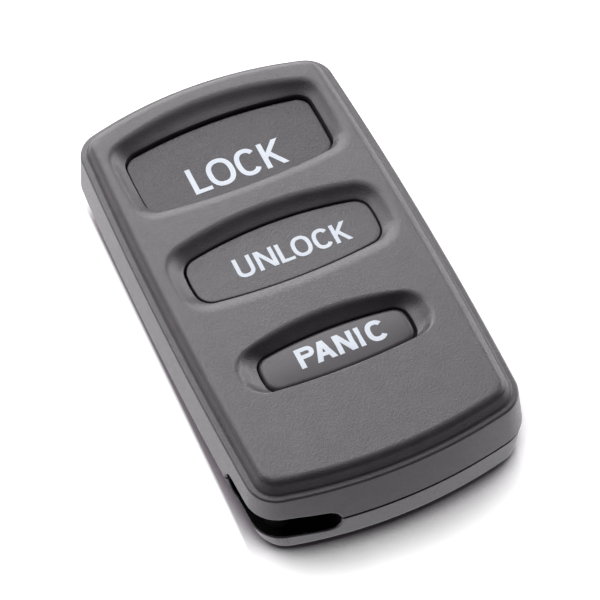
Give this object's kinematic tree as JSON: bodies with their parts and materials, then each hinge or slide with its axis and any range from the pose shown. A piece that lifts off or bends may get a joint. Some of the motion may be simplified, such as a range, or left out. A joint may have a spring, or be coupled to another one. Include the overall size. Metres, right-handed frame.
{
  "type": "key fob shell",
  "caption": "Pocket remote key fob: two-part casing with a raised face, three sprung push keys in sloped wells, and a key ring slot round a post in one corner.",
  "frame": {"origin": "centre of the flat back, which the fob lies on", "axes": "+X across the fob, +Y towards the lock key's end, +Z out of the face with keys"},
  "size_m": [0.035, 0.062, 0.0127],
  "materials": {
    "front_casing": "fine spark-eroded grain, matte",
    "rear_casing": "fine spark-eroded grain, matte",
    "key_plastic": "smooth satin moulded plastic",
    "mat_rubber": "soft silicone rubber",
    "board_laminate": "green lacquered laminate",
    "chip_plastic": "black moulded package",
    "switch_plastic": "black moulded housing",
    "plunger_plastic": "natural moulded plastic",
    "cell_steel": "bright pressed steel",
    "spring_steel": "tinned spring strip",
    "resonator_steel": "drawn metal can",
    "aerial_copper": "tinned copper strip",
    "ceramic": "fired ceramic",
    "screw_steel": "blackened steel",
    "legend_ink": "printed white ink"
  },
  "bodies": {
    "casing": {"front_cover": "front_casing", "rear_cover": "rear_casing", "key_mat": "mat_rubber", "circuit_board": "board_laminate", "control_chip": "chip_plastic", "resonator": "resonator_steel", "aerial_loop": "aerial_copper", "chip_capacitors": "ceramic", "chip_resistors": "chip_plastic", "coin_cell": "cell_steel", "positive_contact": "spring_steel", "negative_contact": "spring_steel", "case_screw": "screw_steel", "lock_rubber_dome": "mat_rubber", "lock_switch": "switch_plastic", "lock_snap_dome": "spring_steel", "unlock_rubber_dome": "mat_rubber", "unlock_switch": "switch_plastic", "unlock_snap_dome": "spring_steel", "panic_rubber_dome": "mat_rubber", "panic_switch": "switch_plastic", "panic_snap_dome": "spring_steel"},
    "lock_key": {"lock_key": "key_plastic"},
    "lock_plunger": {"lock_plunger": "plunger_plastic"},
    "panic_key": {"panic_key": "key_plastic"},
    "panic_plunger": {"panic_plunger": "plunger_plastic"},
    "unlock_key": {"unlock_key": "key_plastic"},
    "unlock_plunger": {"unlock_plunger": "plunger_plastic"}
  },
  "joints": [
    {"name": "lock_press", "type": "slide", "parent": "casing", "child": "lock_key", "axis": [0, 0, -1], "range_m": [0, 0.0005], "stiffness_N_per_m": 400, "springref_m": -0.0005, "deforming": ["lock_rubber_dome"]},
    {"name": "unlock_press", "type": "slide", "parent": "casing", "child": "unlock_key", "axis": [0, 0, -1], "range_m": [0, 0.0005], "stiffness_N_per_m": 400, "springref_m": -0.0005, "deforming": ["unlock_rubber_dome"]},
    {"name": "panic_press", "type": "slide", "parent": "casing", "child": "panic_key", "axis": [0, 0, -1], "range_m": [0, 0.0005], "stiffness_N_per_m": 400, "springref_m": -0.0005, "deforming": ["panic_rubber_dome"]},
    {"name": "lock_switch_travel", "type": "slide", "parent": "casing", "child": "lock_plunger", "axis": [0, 0, -1], "range_m": [0, 0.0003], "stiffness_N_per_m": 100, "springref_m": -0.0003, "deforming": ["lock_snap_dome"]},
    {"name": "unlock_switch_travel", "type": "slide", "parent": "casing", "child": "unlock_plunger", "axis": [0, 0, -1], "range_m": [0, 0.0003], "stiffness_N_per_m": 100, "springref_m": -0.0003, "deforming": ["unlock_snap_dome"]},
    {"name": "panic_switch_travel", "type": "slide", "parent": "casing", "child": "panic_plunger", "axis": [0, 0, -1], "range_m": [0, 0.0003], "stiffness_N_per_m": 100, "springref_m": -0.0003, "deforming": ["panic_snap_dome"]}
  ],
  "couplings": [
    {"joint": "lock_switch_travel", "follows": "lock_press", "ratio": 0.6},
    {"joint": "unlock_switch_travel", "follows": "unlock_press", "ratio": 0.6},
    {"joint": "panic_switch_travel", "follows": "panic_press", "ratio": 0.6}
  ]
}
